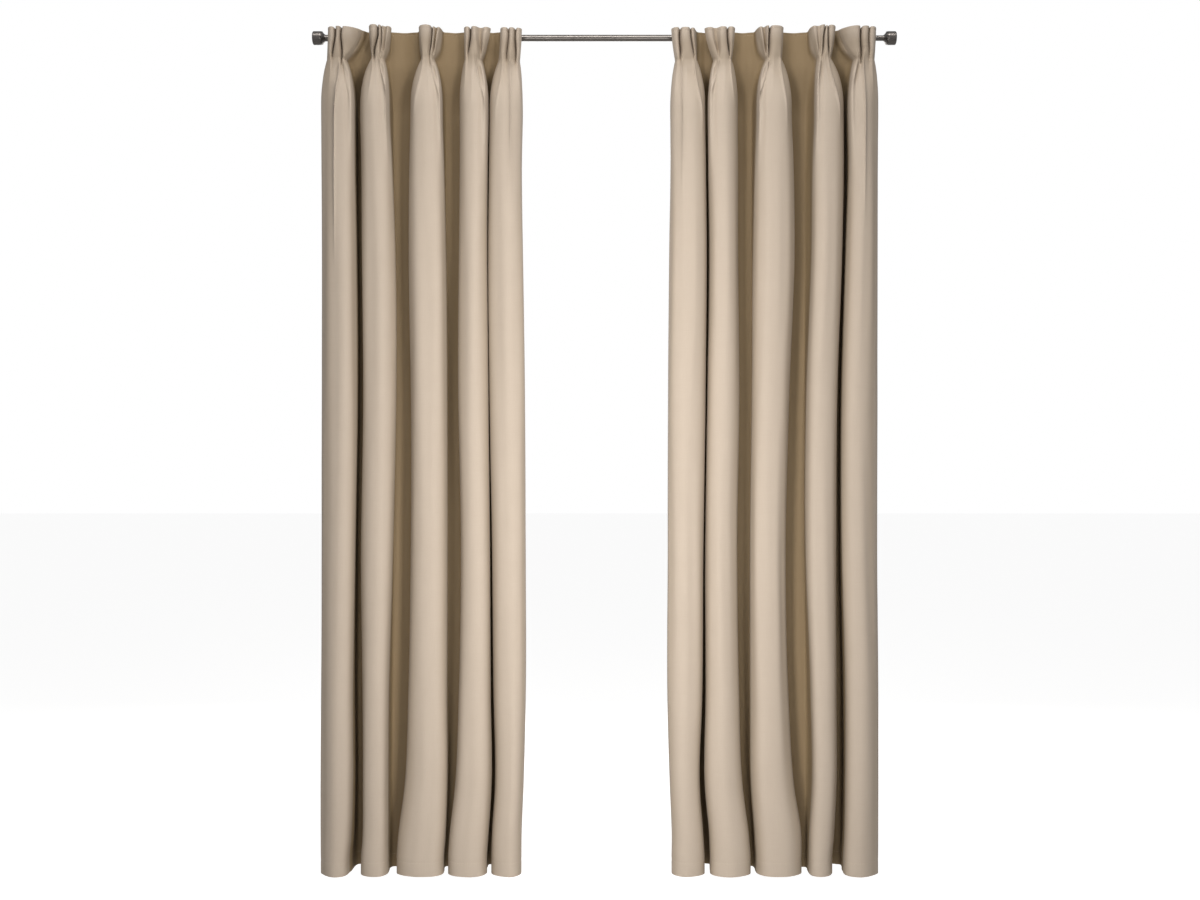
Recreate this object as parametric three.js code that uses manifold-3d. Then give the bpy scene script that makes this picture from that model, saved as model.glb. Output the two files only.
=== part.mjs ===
// A pair of pinch-pleated curtain panels hung by rings and pin hooks on a telescopic rod,
// which rests in two wall brackets.
// Millimetres, +Z up, +X along the rod to the right, -Y towards the room, z = 0 at the bottom hem.

import * as THREE from "three";
import * as BufferGeometryUtils from "three/addons/utils/BufferGeometryUtils.js";
import Module from "manifold-3d";

const wasm = await Module();
wasm.setup();

// ---- driving dimensions ------------------------------------------------------------------------

const touchGap = 0.3;              // left between two solids that touch
const runningGap = 0.5;            // one tube inside the other

const clothDrop = 2500;            // header edge to bottom hem
const clothThickness = 1.5;
const rodBelowHeader = 15;         // rod axis below the header edge
const wallBehindRod = 85;          // rod axis to wall

const outerTubeDiameter = 19;
const tubeWall = 1;
const innerTubeDiameter = outerTubeDiameter - 2 * tubeWall - 2 * runningGap;
const rodHalfLength = 832;         // middle of the rod to the shoulder of a finial
const outerTubeEnd = rodHalfLength - 412;      // right-hand end of the outer tube
const innerTubeStart = -60;        // left-hand end of the inner tube

const finialFlare = 13;            // length of the flared neck
const finialBarrel = 27;           // length of the barrel
const finialDiameter = 40;
const finialEdgeRadius = 3.5;
const finialStep = 1.5;            // the flare ends this far inside the barrel's side
const finialStepLength = 1.2;
const finialPlugLength = 30;       // what is pushed into the tube

const bracketX = rodHalfLength - 105;          // middle of each bracket from the middle of the rod
const armWidth = 14;
const armDepth = 15;               // height of the arm's section
const cupWall = 5;
const cupLip = 4;                  // cup walls above the rod axis
const cupSlope = 4;                // run of the slope from the arm up to the cup's back wall
const cupChamfer = 5;
const plateWidth = 30;
const plateHeight = 72;
const plateThickness = 4;
const plateCorner = 6;
const plateDrop = 12;              // middle of the plate below the rod axis
const wallScrewSpacing = 50;
const wallScrewDiameter = 5;
const wallScrewHead = 10;
const wallScrewRim = 0.8;
const wallScrewCrown = 1.6;
const wallScrewFlat = 3;           // radius of the flat on top of the crown
const lockScrewDiameter = 5;
const lockKnobDiameter = 11;
const lockKnobHeight = 8;
const lockKnobFlute = 0.5;

const ringBore = 26;               // inner diameter of a curtain ring
const ringWire = 4;
const eyeletBore = 6.5;
const eyeletWire = 2.5;
const hookWire = 1.8;
const hookBelowEyelet = 26;        // bottom bend of a hook below the eyelet's bar
const hookPinHeight = 30;          // pin tip above the eyelet's bar
const hookTail = 6;
const hookCrookRadius = 3;

const panelMiddle = -16;           // the pair hangs a little left of the rod's middle
const panelInset = 21;             // outer edge of a panel, short of the rod's shoulder
const foldWidths = [100, 91, 110, 89, 97];     // from the leading edge outwards
const foldGaps = [7, 35, 48, 22];              // cloth-to-cloth gap after each of them
const webDepths = [45, 22, 15, 45];            // how far behind the rod axis the cloth goes back there
const edgeDepth = 45;              // the same at a panel's two side edges
const headerClearance = 5;         // from the rings to the flat header in front of them
const foldDepth = 63;              // from the flat header to the fronts of the folds
const foldNose = 30;               // depth of a fold's rounded front
const pleatDepth = 60;             // the same to the fronts of the pleats
const nipDepth = 42;               // and to a pleat's front where it is pinched
const pleatWidth = 72;             // fanned top of a pleat
const nipWidth = 44;               // the same where it is pinched
const nipBelowHeader = 90;
const fullBelowHeader = 240;       // where a fold has its full width
const seamGap = 0.4;               // side gap between a fold's solid and the web's
const overlap = 1;                 // how far cutting and joined solids run into each other

// ---- values worked out from them ---------------------------------------------------------------

const rodHeight = clothDrop - rodBelowHeader;
const outerTubeRadius = outerTubeDiameter / 2;
const innerTubeRadius = innerTubeDiameter / 2;
const ringRadius = (ringBore + ringWire) / 2;
const headerDepth = -ringBore / 2 - ringWire - headerClearance;
const foldFront = headerDepth - foldDepth;
const pleatFront = headerDepth - pleatDepth;
const nipFront = headerDepth - nipDepth;
const ringHeight = rodHeight + outerTubeRadius + touchGap - ringBore / 2;
const eyeletRadius = (eyeletBore + eyeletWire) / 2;
const eyeletHeight = ringHeight - ringBore / 2 - ringWire - eyeletRadius + overlap;
const eyeletBarHeight = eyeletHeight - eyeletRadius;
const panelWidth = [...foldWidths, ...foldGaps].reduce((sum, width) => sum + width);
const leadingEdge = rodHalfLength - panelInset - panelWidth;   // inner edge, from the pair's middle

const pewter = new THREE.MeshStandardMaterial({ color: 0x8d8781, roughness: 0.35, metalness: 1 });
const steel = new THREE.MeshStandardMaterial({ color: 0xb4b2ae, roughness: 0.4, metalness: 1 });
const cloth = new THREE.MeshStandardMaterial({ color: 0xbeac91, roughness: 0.85, metalness: 0 });

const curtains = new THREE.Group();

function add(name, geometry, material) {
  const mesh = new THREE.Mesh(geometry, material.clone());
  mesh.name = name;
  curtains.add(mesh);
  return mesh;
}

// ---- shape helpers -----------------------------------------------------------------------------

function solidOf(geometry) {
  const plain = geometry.clone();
  for (const name of Object.keys(plain.attributes)) {
    if (name !== "position") plain.deleteAttribute(name);
  }
  const merged = BufferGeometryUtils.mergeVertices(plain, 1e-4);
  const vertProperties = new Float32Array(merged.attributes.position.array);
  const triVerts = new Uint32Array(merged.index.array);
  return new wasm.Manifold(new wasm.Mesh({ numProp: 3, vertProperties, triVerts }));
}

function geometryOf(solid) {
  const mesh = solid.getMesh();
  const geometry = new THREE.BufferGeometry();
  geometry.setAttribute("position", new THREE.BufferAttribute(new Float32Array(mesh.vertProperties), 3));
  geometry.setIndex(new THREE.BufferAttribute(new Uint32Array(mesh.triVerts), 1));
  return geometry;
}

// A solid turned about the X axis, from [x, radius] points that go round its section.
function turnedAlongX(points, sides = 24) {
  const outline = points.map(([x, radius]) => new THREE.Vector2(radius, x));
  return new THREE.LatheGeometry(outline, sides).rotateZ(-Math.PI / 2);
}

// A straight cylinder between two heights.
function upright(radius, bottom, top, sides = 20) {
  return new THREE.CylinderGeometry(radius, radius, top - bottom, sides)
    .rotateX(Math.PI / 2)
    .translate(0, 0, (bottom + top) / 2);
}

// An outline in (y, z), extruded along X about x = 0.
function extrudedAlongX(shape, width, curveSegments = 10) {
  return new THREE.ExtrudeGeometry(shape, { depth: width, bevelEnabled: false, curveSegments })
    .rotateX(Math.PI / 2)
    .rotateZ(Math.PI / 2)
    .translate(-width / 2, 0, 0);
}

// ---- rod ---------------------------------------------------------------------------------------

function tubeAlongX(from, to, radius) {
  const bore = radius - tubeWall;
  return turnedAlongX([[from, bore], [from, radius], [to, radius], [to, bore], [from, bore]]);
}

function finial(tubeRadius, side) {
  const plug = tubeRadius - tubeWall - touchGap;
  const start = rodHalfLength + touchGap;
  const barrelStart = rodHalfLength + finialFlare;
  const end = barrelStart + finialBarrel;
  const radius = finialDiameter / 2;
  const points = [[start - finialPlugLength, 0], [start - finialPlugLength, plug], [start, plug]];
  const flareSteps = 4;
  for (let i = 0; i <= flareSteps; i += 1) {
    const t = i / flareSteps;
    const flared = tubeRadius + (radius - finialStep - tubeRadius) * (1 - Math.cos(t * Math.PI / 2));
    points.push([start + t * (barrelStart - start), flared]);
  }
  points.push([barrelStart + finialStepLength, radius]);
  const edgeSteps = 3;
  for (let i = 0; i <= edgeSteps; i += 1) {
    const a = i / edgeSteps * Math.PI / 2;
    const x = end - finialEdgeRadius + finialEdgeRadius * Math.sin(a);
    points.push([x, radius - finialEdgeRadius + finialEdgeRadius * Math.cos(a)]);
  }
  points.push([end, 0]);
  const geometry = turnedAlongX(points);
  if (side < 0) geometry.rotateZ(Math.PI);
  return geometry;
}

add("rod_outer_tube", tubeAlongX(-rodHalfLength, outerTubeEnd, outerTubeRadius), pewter)
  .position.set(0, 0, rodHeight);
add("rod_inner_tube", tubeAlongX(innerTubeStart, rodHalfLength, innerTubeRadius), pewter)
  .position.set(0, 0, rodHeight);
add("finial_left", finial(outerTubeRadius, -1), pewter).position.set(0, 0, rodHeight);
add("finial_right", finial(innerTubeRadius, 1), pewter).position.set(0, 0, rodHeight);

// ---- wall brackets -----------------------------------------------------------------------------

function wallPlate() {
  const corner = plateCorner;
  const shape = new THREE.Shape();
  const w = plateWidth / 2;
  const h = plateHeight / 2;
  shape.moveTo(-w + corner, -h);
  shape.lineTo(w - corner, -h);
  shape.absarc(w - corner, -h + corner, corner, -Math.PI / 2, 0);
  shape.absarc(w - corner, h - corner, corner, 0, Math.PI / 2);
  shape.absarc(-w + corner, h - corner, corner, Math.PI / 2, Math.PI);
  shape.absarc(-w + corner, -h + corner, corner, Math.PI, Math.PI * 1.5);
  for (const side of [-1, 1]) {
    const hole = new THREE.Path();
    hole.absarc(0, side * wallScrewSpacing / 2, wallScrewDiameter / 2 + touchGap, 0, 2 * Math.PI, true);
    shape.holes.push(hole);
  }
  const curveSegments = 5;
  return new THREE.ExtrudeGeometry(shape, { depth: plateThickness, bevelEnabled: false, curveSegments })
    .rotateX(Math.PI / 2)
    .translate(0, plateThickness, 0);
}

// The arm and its open cup, about the rod's axis at y = 0, z = 0.
function bracketArm(tubeRadius) {
  const slot = tubeRadius + touchGap;
  const front = -slot - cupWall;
  const bottom = -slot - cupWall;
  const back = wallBehindRod - plateThickness - touchGap;
  const shape = new THREE.Shape();
  shape.moveTo(back, bottom);
  shape.lineTo(back, bottom + armDepth);
  shape.lineTo(slot + cupWall + cupSlope, bottom + armDepth);
  shape.lineTo(slot + cupWall, cupLip);
  shape.lineTo(slot, cupLip);
  shape.lineTo(slot, 0);
  shape.absarc(0, 0, slot, 0, -Math.PI, true);
  shape.lineTo(-slot, cupLip);
  shape.lineTo(front, cupLip);
  shape.lineTo(front, bottom + cupChamfer);
  shape.lineTo(front + cupChamfer, bottom);
  const arm = solidOf(extrudedAlongX(shape, armWidth));
  const hole = solidOf(upright(lockScrewDiameter / 2 + touchGap, bottom - overlap, -slot + overlap));
  return geometryOf(arm.subtract(hole));
}

// Pan-head screw about y = 0 at the front of its plate; it ends just short of the wall.
function wallScrew() {
  const shank = wallScrewDiameter / 2;
  const head = wallScrewHead / 2;
  const rim = -touchGap - wallScrewRim;
  const top = rim - wallScrewCrown;
  const end = plateThickness - touchGap;
  const outline = [
    [0, top], [wallScrewFlat, top], [head, rim], [head, -touchGap],
    [shank, -touchGap], [shank, end], [0, end],
  ];
  return new THREE.LatheGeometry(outline.map(([r, y]) => new THREE.Vector2(r, y)), 14);
}

// Thumb screw under a cup: a fluted knob and a shank that stops just under the rod.
function lockScrew(tubeRadius) {
  const cupBottom = -tubeRadius - touchGap - cupWall;
  const knobTop = cupBottom - touchGap;
  const shank = upright(lockScrewDiameter / 2, knobTop - overlap, -tubeRadius - touchGap, 14);
  const knobShape = new THREE.Shape();
  const flutes = 8;
  const pointsPerFlute = 4;
  const count = flutes * pointsPerFlute;
  for (let i = 0; i < count; i += 1) {
    const a = i / count * 2 * Math.PI;
    const radius = lockKnobDiameter / 2 - lockKnobFlute + lockKnobFlute * Math.cos(flutes * a);
    if (i === 0) knobShape.moveTo(radius, 0);
    else knobShape.lineTo(radius * Math.cos(a), radius * Math.sin(a));
  }
  const knob = new THREE.ExtrudeGeometry(knobShape, { depth: lockKnobHeight, bevelEnabled: false })
    .translate(0, 0, knobTop - lockKnobHeight);
  return geometryOf(solidOf(knob).add(solidOf(shank)));
}

for (const [name, side, radius] of [["left", -1, outerTubeRadius], ["right", 1, innerTubeRadius]]) {
  const x = side * bracketX;
  const plateHeightAt = rodHeight - plateDrop;
  const plateFront = wallBehindRod - plateThickness;
  add(`wall_plate_${name}`, wallPlate(), pewter).position.set(x, plateFront, plateHeightAt);
  add(`bracket_arm_${name}`, bracketArm(radius), pewter).position.set(x, 0, rodHeight);
  add(`lock_screw_${name}`, lockScrew(radius), pewter).position.set(x, 0, rodHeight);
  for (const [place, up] of [["upper", 1], ["lower", -1]]) {
    add(`wall_screw_${name}_${place}`, wallScrew(), steel)
      .position.set(x, plateFront, plateHeightAt + up * wallScrewSpacing / 2);
  }
}

// ---- rings and hooks ---------------------------------------------------------------------------

function ringWithEyelet() {
  const ring = new THREE.TorusGeometry(ringRadius, ringWire / 2, 6, 16).rotateY(Math.PI / 2);
  const eyelet = new THREE.TorusGeometry(eyeletRadius, eyeletWire / 2, 4, 10)
    .rotateX(Math.PI / 2)
    .translate(0, 0, eyeletHeight - ringHeight);
  return geometryOf(solidOf(ring).add(solidOf(eyelet)));
}

// Bent wire: a pin that goes up behind a pleat, a U-bend, and a crook over the eyelet's bar.
function pleatHook() {
  const pinY = headerDepth + clothThickness / 2 + touchGap + hookWire / 2;
  const crookTop = eyeletWire / 2 + touchGap + hookWire / 2;
  const crookMiddle = crookTop - hookCrookRadius;
  const bendRadius = (-hookCrookRadius - pinY) / 2;
  const bendMiddle = -hookBelowEyelet + bendRadius;
  const at = (y, z) => new THREE.Vector3(0, y, z);
  const points = [at(pinY, hookPinHeight)];
  const bendSteps = 6;
  for (let i = 0; i <= bendSteps; i += 1) {
    const a = Math.PI + i / bendSteps * Math.PI;
    const y = (pinY - hookCrookRadius) / 2 + bendRadius * Math.cos(a);
    points.push(at(y, bendMiddle + bendRadius * Math.sin(a)));
  }
  const crookSteps = 6;
  for (let i = 0; i <= crookSteps; i += 1) {
    const a = Math.PI - i / crookSteps * Math.PI;
    points.push(at(hookCrookRadius * Math.cos(a), crookMiddle + hookCrookRadius * Math.sin(a)));
  }
  points.push(at(hookCrookRadius, crookMiddle - hookTail));
  return sweptWire(points, hookWire / 2);
}

// A round wire along points that lie in one plane x = const.
function sweptWire(points, radius, sides = 5) {
  const positions = [];
  const index = [];
  points.forEach((point, i) => {
    const before = points[Math.max(i - 1, 0)];
    const after = points[Math.min(i + 1, points.length - 1)];
    const along = new THREE.Vector3().subVectors(after, before).normalize();
    const across = new THREE.Vector3(1, 0, 0);
    const up = new THREE.Vector3().crossVectors(along, across);
    for (let k = 0; k < sides; k += 1) {
      const a = k / sides * 2 * Math.PI;
      const spot = point.clone()
        .addScaledVector(across, radius * Math.cos(a))
        .addScaledVector(up, radius * Math.sin(a));
      positions.push(spot.x, spot.y, spot.z);
    }
  });
  const last = points.length - 1;
  for (let i = 0; i < last; i += 1) {
    for (let k = 0; k < sides; k += 1) {
      const a = i * sides + k;
      const b = i * sides + (k + 1) % sides;
      index.push(a, b, b + sides, a, b + sides, a + sides);
    }
  }
  for (let k = 1; k < sides - 1; k += 1) {
    index.push(0, k + 1, k);
    index.push(last * sides, last * sides + k, last * sides + k + 1);
  }
  const geometry = new THREE.BufferGeometry();
  geometry.setAttribute("position", new THREE.Float32BufferAttribute(positions, 3));
  geometry.setIndex(index);
  return geometry;
}

// ---- curtain panels ----------------------------------------------------------------------------

// Heights below the header edge at which a fold's section is set.
const halfOpen = (nipBelowHeader + fullBelowHeader) / 2;
const halfWay = (fullBelowHeader + clothDrop) / 2;
const foldLevels = [0, nipBelowHeader / 2, nipBelowHeader, halfOpen, fullBelowHeader, halfWay, clothDrop];

// 0 in the header down to the pinch, 1 from where the folds are full.
function fullness(below) {
  const t = (below - nipBelowHeader) / (fullBelowHeader - nipBelowHeader);
  return THREE.MathUtils.smoothstep(t, 0, 1);
}

function foldWidthAt(width, below) {
  if (below < nipBelowHeader) {
    const t = below / nipBelowHeader;
    return pleatWidth + (nipWidth - pleatWidth) * t;
  }
  return nipWidth + (width - nipWidth) * fullness(below);
}

function foldFrontAt(below) {
  if (below < nipBelowHeader) {
    const t = below / nipBelowHeader;
    return pleatFront + (nipFront - pleatFront) * t;
  }
  return nipFront + (foldFront - nipFront) * fullness(below);
}

function webDepthAt(depth, below) {
  return headerDepth + (depth - headerDepth) * fullness(below);
}

// One level's U-shaped section, outside line first and inside line after it, as [x, y] pairs.
function foldSection(width, backLeft, backRight, below) {
  const half = foldWidthAt(width, below) / 2;
  const front = foldFrontAt(below);
  const nose = Math.min(half, foldNose);
  const left = webDepthAt(backLeft, below);
  const right = webDepthAt(backRight, below);
  const outside = [[-half, left]];
  const steps = 8;
  for (let i = 0; i <= steps; i += 1) {
    const a = Math.PI + i / steps * Math.PI;
    outside.push([half * Math.cos(a), front + nose + nose * Math.sin(a)]);
  }
  outside.push([half, right]);
  const inside = outside.map(([x, y], i) => {
    const before = outside[Math.max(i - 1, 0)];
    const after = outside[Math.min(i + 1, outside.length - 1)];
    const dx = after[0] - before[0];
    const dy = after[1] - before[1];
    const length = Math.hypot(dx, dy);
    return [x - dy / length * clothThickness, y + dx / length * clothThickness];
  });
  return [outside, inside];
}

// A closed thin sheet lofted through sections that each hold an outside and an inside line.
function loftedSheet(sections, heights) {
  const positions = [];
  const index = [];
  const columns = sections[0][0].length;
  const rows = sections.length;
  sections.forEach((lines, row) => {
    for (const line of lines) {
      for (const [x, y] of line) positions.push(x, y, heights[row]);
    }
  });
  const at = (row, column, face) => (row * 2 + face) * columns + column;
  const quad = (a, b, c, d) => index.push(a, b, c, a, c, d);
  for (let row = 0; row < rows - 1; row += 1) {
    for (let i = 0; i < columns - 1; i += 1) {
      quad(at(row, i, 0), at(row + 1, i, 0), at(row + 1, i + 1, 0), at(row, i + 1, 0));
      quad(at(row, i, 1), at(row, i + 1, 1), at(row + 1, i + 1, 1), at(row + 1, i, 1));
    }
    quad(at(row, 0, 0), at(row, 0, 1), at(row + 1, 0, 1), at(row + 1, 0, 0));
    const end = columns - 1;
    quad(at(row, end, 0), at(row + 1, end, 0), at(row + 1, end, 1), at(row, end, 1));
  }
  const bottom = rows - 1;
  for (let i = 0; i < columns - 1; i += 1) {
    quad(at(0, i, 0), at(0, i + 1, 0), at(0, i + 1, 1), at(0, i, 1));
    quad(at(bottom, i, 0), at(bottom, i, 1), at(bottom, i + 1, 1), at(bottom, i + 1, 0));
  }
  const geometry = new THREE.BufferGeometry();
  geometry.setAttribute("position", new THREE.Float32BufferAttribute(positions, 3));
  geometry.setIndex(index);
  return geometry;
}

// A fold with the stiff tape that closes its pleat at the back and holds the hook's pin.
function foldCloth(width, backLeft, backRight) {
  const sections = foldLevels.map((below) => foldSection(width, backLeft, backRight, below));
  const fold = loftedSheet(sections, foldLevels.map((below) => clothDrop - below));
  const tapeLevels = [0, nipBelowHeader];
  const tapeSections = tapeLevels.map((below) => {
    const half = (foldWidthAt(width, below) - clothThickness) / 2;
    const front = headerDepth - clothThickness;
    return [[[-half, front], [half, front]], [[-half, headerDepth], [half, headerDepth]]];
  });
  const tape = loftedSheet(tapeSections, tapeLevels.map((below) => clothDrop - below));
  return geometryOf(solidOf(fold).add(solidOf(tape)));
}

// The flat cloth between two folds; x runs from the left fold's middle.
function webCloth(leftWidth, rightWidth, pitch, depth) {
  const sections = foldLevels.map((below) => {
    const from = foldWidthAt(leftWidth, below) / 2 + seamGap;
    const to = pitch - foldWidthAt(rightWidth, below) / 2 - seamGap;
    const front = webDepthAt(depth, below) - clothThickness / 2;
    const back = front + clothThickness;
    return [[[from, front], [to, front]], [[from, back], [to, back]]];
  });
  return loftedSheet(sections, foldLevels.map((below) => clothDrop - below));
}

// One panel, its folds numbered from the wall side inwards.
function panel(name, side) {
  const count = foldWidths.length;
  let edge = leadingEdge;
  foldWidths.forEach((width, i) => {
    const number = count - i;
    const middle = panelMiddle + side * (edge + width / 2);
    const inner = i === 0 ? edgeDepth : webDepths[i - 1];
    const outer = i === count - 1 ? edgeDepth : webDepths[i];
    const backs = side > 0 ? [inner, outer] : [outer, inner];
    add(`cloth_${name}_fold_${number}`, foldCloth(width, ...backs), cloth).position.set(middle, 0, 0);
    add(`ring_${name}_${number}`, ringWithEyelet(), pewter).position.set(middle, 0, ringHeight);
    add(`hook_${name}_${number}`, pleatHook(), steel).position.set(middle, 0, eyeletBarHeight);
    if (i < count - 1) {
      const gap = foldGaps[i];
      const pitch = (width + foldWidths[i + 1]) / 2 + gap;
      const widths = side > 0 ? [width, foldWidths[i + 1]] : [foldWidths[i + 1], width];
      const from = side > 0 ? middle : middle - pitch;
      add(`cloth_${name}_web_${number - 1}`, webCloth(...widths, pitch, webDepths[i]), cloth)
        .position.set(from, 0, 0);
      edge += width + gap;
    }
  });
}

panel("left", -1);
panel("right", 1);

export default curtains;
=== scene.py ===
import math
import bpy
import bmesh
import numpy as np
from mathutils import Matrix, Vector


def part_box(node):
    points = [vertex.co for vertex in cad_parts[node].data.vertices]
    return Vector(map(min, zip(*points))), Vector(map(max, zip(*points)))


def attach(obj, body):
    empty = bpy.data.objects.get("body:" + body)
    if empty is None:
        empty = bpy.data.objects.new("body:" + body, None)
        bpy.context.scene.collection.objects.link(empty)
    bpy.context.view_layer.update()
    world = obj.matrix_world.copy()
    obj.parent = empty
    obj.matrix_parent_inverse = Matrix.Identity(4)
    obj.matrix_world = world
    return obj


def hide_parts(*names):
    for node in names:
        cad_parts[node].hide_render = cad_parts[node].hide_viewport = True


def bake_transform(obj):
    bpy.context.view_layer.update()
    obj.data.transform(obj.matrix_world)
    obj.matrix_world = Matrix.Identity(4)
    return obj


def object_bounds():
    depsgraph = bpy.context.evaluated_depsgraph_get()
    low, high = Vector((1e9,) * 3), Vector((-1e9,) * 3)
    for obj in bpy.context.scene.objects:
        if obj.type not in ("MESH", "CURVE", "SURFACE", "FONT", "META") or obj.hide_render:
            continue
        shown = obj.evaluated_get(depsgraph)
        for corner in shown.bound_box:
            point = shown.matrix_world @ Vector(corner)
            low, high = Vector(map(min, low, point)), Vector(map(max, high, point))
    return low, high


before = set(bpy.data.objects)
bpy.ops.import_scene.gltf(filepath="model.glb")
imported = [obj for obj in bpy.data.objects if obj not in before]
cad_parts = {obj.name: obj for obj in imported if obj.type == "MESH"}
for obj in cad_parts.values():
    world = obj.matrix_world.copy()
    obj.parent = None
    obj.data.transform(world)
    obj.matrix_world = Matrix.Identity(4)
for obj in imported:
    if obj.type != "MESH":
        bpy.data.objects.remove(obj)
cad_low, cad_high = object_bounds()
scene = bpy.context.scene

# ---- studio ------------------------------------------------------------------------------------
# A white room: pale floor under the hems, soft white light all round, two tall soft boxes that shine
# across each other at the panels, one overhead and one behind. The camera stands square to the rod.

SIDES = ("left", "right")
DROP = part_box("cloth_left_fold_1")[1].z
VIEW_DISTANCE = 4.0
VIEW_WIDTH = 3.517
VIEW_OFFSET = (-0.0132, 0.0022)
SENSOR = 36.0
FLOOR_GAP = 0.10

camera = bpy.data.objects.new("camera", bpy.data.cameras.new("camera"))
camera.data.sensor_width = SENSOR
camera.data.lens = SENSOR * VIEW_DISTANCE / VIEW_WIDTH
camera.data.clip_end = 60
camera.location = (VIEW_OFFSET[0], cad_low[1] - VIEW_DISTANCE, DROP / 2 + VIEW_OFFSET[1])
camera.rotation_euler = (math.pi / 2, 0, 0)
scene.collection.objects.link(camera)
scene.camera = camera
scene.view_settings.view_transform = "Standard"


def add_soft_box(name, place, aim, size, power, spread=180):
    lamp = bpy.data.lights.new(name, "AREA")
    lamp.shape = "RECTANGLE"
    lamp.size, lamp.size_y = size
    lamp.energy = power
    lamp.spread = math.radians(spread)
    lamp.color = (1.0, 0.975, 0.94)
    box = bpy.data.objects.new(name, lamp)
    box.location = place
    box.rotation_euler = (Vector(aim) - Vector(place)).to_track_quat("-Z", "Y").to_euler()
    box.visible_camera = False
    scene.collection.objects.link(box)


class Value:
    """A number that varies over a surface; arithmetic on it adds Math nodes."""

    def __init__(self, finish, socket):
        self.finish = finish
        self.socket = socket

    def _math(self, operation, *others):
        return self.finish.value("ShaderNodeMath", {"operation": operation}, dict(enumerate(others)))

    def __add__(self, other):
        return self._math("ADD", self, other)

    def __mul__(self, other):
        return self._math("MULTIPLY", self, other)

    __radd__ = __add__
    __rmul__ = __mul__

    def sine(self):
        return self._math("SINE", self)


class Finish:
    """One material and the nodes that make it."""

    def __init__(self, name, **constants):
        self.material = bpy.data.materials.new(name)
        self.material.use_nodes = True
        self.tree = self.material.node_tree
        self.shader = self.tree.nodes["Principled BSDF"]
        for socket, value in constants.items():
            self.shader.inputs[socket.replace("_", " ")].default_value = value

    def node(self, kind, settings=None, inputs=None):
        node = self.tree.nodes.new(kind)
        for key, value in (settings or {}).items():
            setattr(node, key, value)
        for key, value in (inputs or {}).items():
            self.feed(node.inputs[key], value)
        return node

    def value(self, kind, settings=None, inputs=None):
        return Value(self, self.node(kind, settings, inputs).outputs[0])

    def feed(self, socket, value):
        if isinstance(value, Value):
            value = value.socket
        if isinstance(value, bpy.types.NodeSocket):
            self.tree.links.new(value, socket)
        else:
            socket.default_value = value

    def set(self, name, value):
        self.feed(self.shader.inputs[name], value)

    def mix(self, factor, first, second):
        """Between two plain colours."""
        return self.blend(factor, (*first, 1.0), (*second, 1.0))

    def blend(self, factor, first, second):
        """Between two colours that may be links."""
        inputs = {"Factor": factor, 6: first, 7: second}
        return self.node("ShaderNodeMix", {"data_type": "RGBA"}, inputs).outputs[2]

    def noise(self, vector, scale, detail=2.0, roughness=0.5):
        inputs = {"Vector": vector, "Scale": scale, "Detail": detail, "Roughness": roughness}
        return self.value("ShaderNodeTexNoise", None, inputs)

    def stretched(self, vector, scale):
        return self.node("ShaderNodeMapping", None, {"Vector": vector, "Scale": scale}).outputs[0]

    def place(self):
        return self.node("ShaderNodeTexCoord").outputs["Object"]

    def bump(self, height, distance, strength=1.0):
        inputs = {"Height": height, "Distance": distance, "Strength": strength}
        self.set("Normal", self.node("ShaderNodeBump", None, inputs).outputs[0])


FLOOR_SIZE = 50.0
floor_finish = Finish("white_floor", Roughness=0.9, Base_Color=(0.62, 0.62, 0.62, 1),
                      Emission_Strength=0.66)
floor_finish.set("Roughness", floor_finish.noise(floor_finish.place(), 2.0) * 0.06 + 0.87)
floor_finish.set("Emission Color", floor_finish.node("ShaderNodeLightPath").outputs["Is Camera Ray"])
bpy.ops.mesh.primitive_plane_add(size=FLOOR_SIZE, location=(0, 0, -FLOOR_GAP))
floor = bpy.context.object
floor.name = "floor"
floor.data.materials.append(floor_finish.material)

world = bpy.data.worlds.new("white_room")
world.use_nodes = True
scene.world = world
nodes, links = world.node_tree.nodes, world.node_tree.links
surroundings = nodes["Background"]
surroundings.inputs["Color"].default_value = (1.0, 1.0, 1.0, 1)
surroundings.inputs["Strength"].default_value = 0.46
backdrop = nodes.new("ShaderNodeBackground")
backdrop.inputs["Color"].default_value = (1.0, 1.0, 1.0, 1)
backdrop.inputs["Strength"].default_value = 1.0
chooser = nodes.new("ShaderNodeMixShader")
links.new(nodes.new("ShaderNodeLightPath").outputs["Is Camera Ray"], chooser.inputs[0])
links.new(surroundings.outputs[0], chooser.inputs[1])
links.new(backdrop.outputs[0], chooser.inputs[2])
links.new(chooser.outputs[0], nodes["World Output"].inputs["Surface"])

add_soft_box("across_from_left", (-0.60, -2.0, 0.95), (0.70, 0, 0.95), (0.5, 2.6), 14.5, spread=95)
add_soft_box("across_from_right", (0.60, -2.0, 0.95), (-0.70, 0, 0.95), (0.5, 2.6), 14.5, spread=95)
add_soft_box("overhead", (0, -1.5, 4.2), (0, 0, 1.2), (2.6, 0.5), 26, spread=110)
add_soft_box("from_behind", (0, 3.0, 1.7), (0, 0, 1.3), (2.6, 2.2), 42)


# ---- rod tubes ---------------------------------------------------------------------------------
# A telescopic rod of thin drawn steel tube, plated dark pewter and brushed along its length. The
# thinner tube slides in the thicker one from the right-hand end.

TUBE_SIDES = 48
TUBE_WALL = 0.001
TUBE_LIP = 0.0004
TURNED_CORNER = math.radians(40)   # corners sharper than this stay crisp on turned bodies


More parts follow.
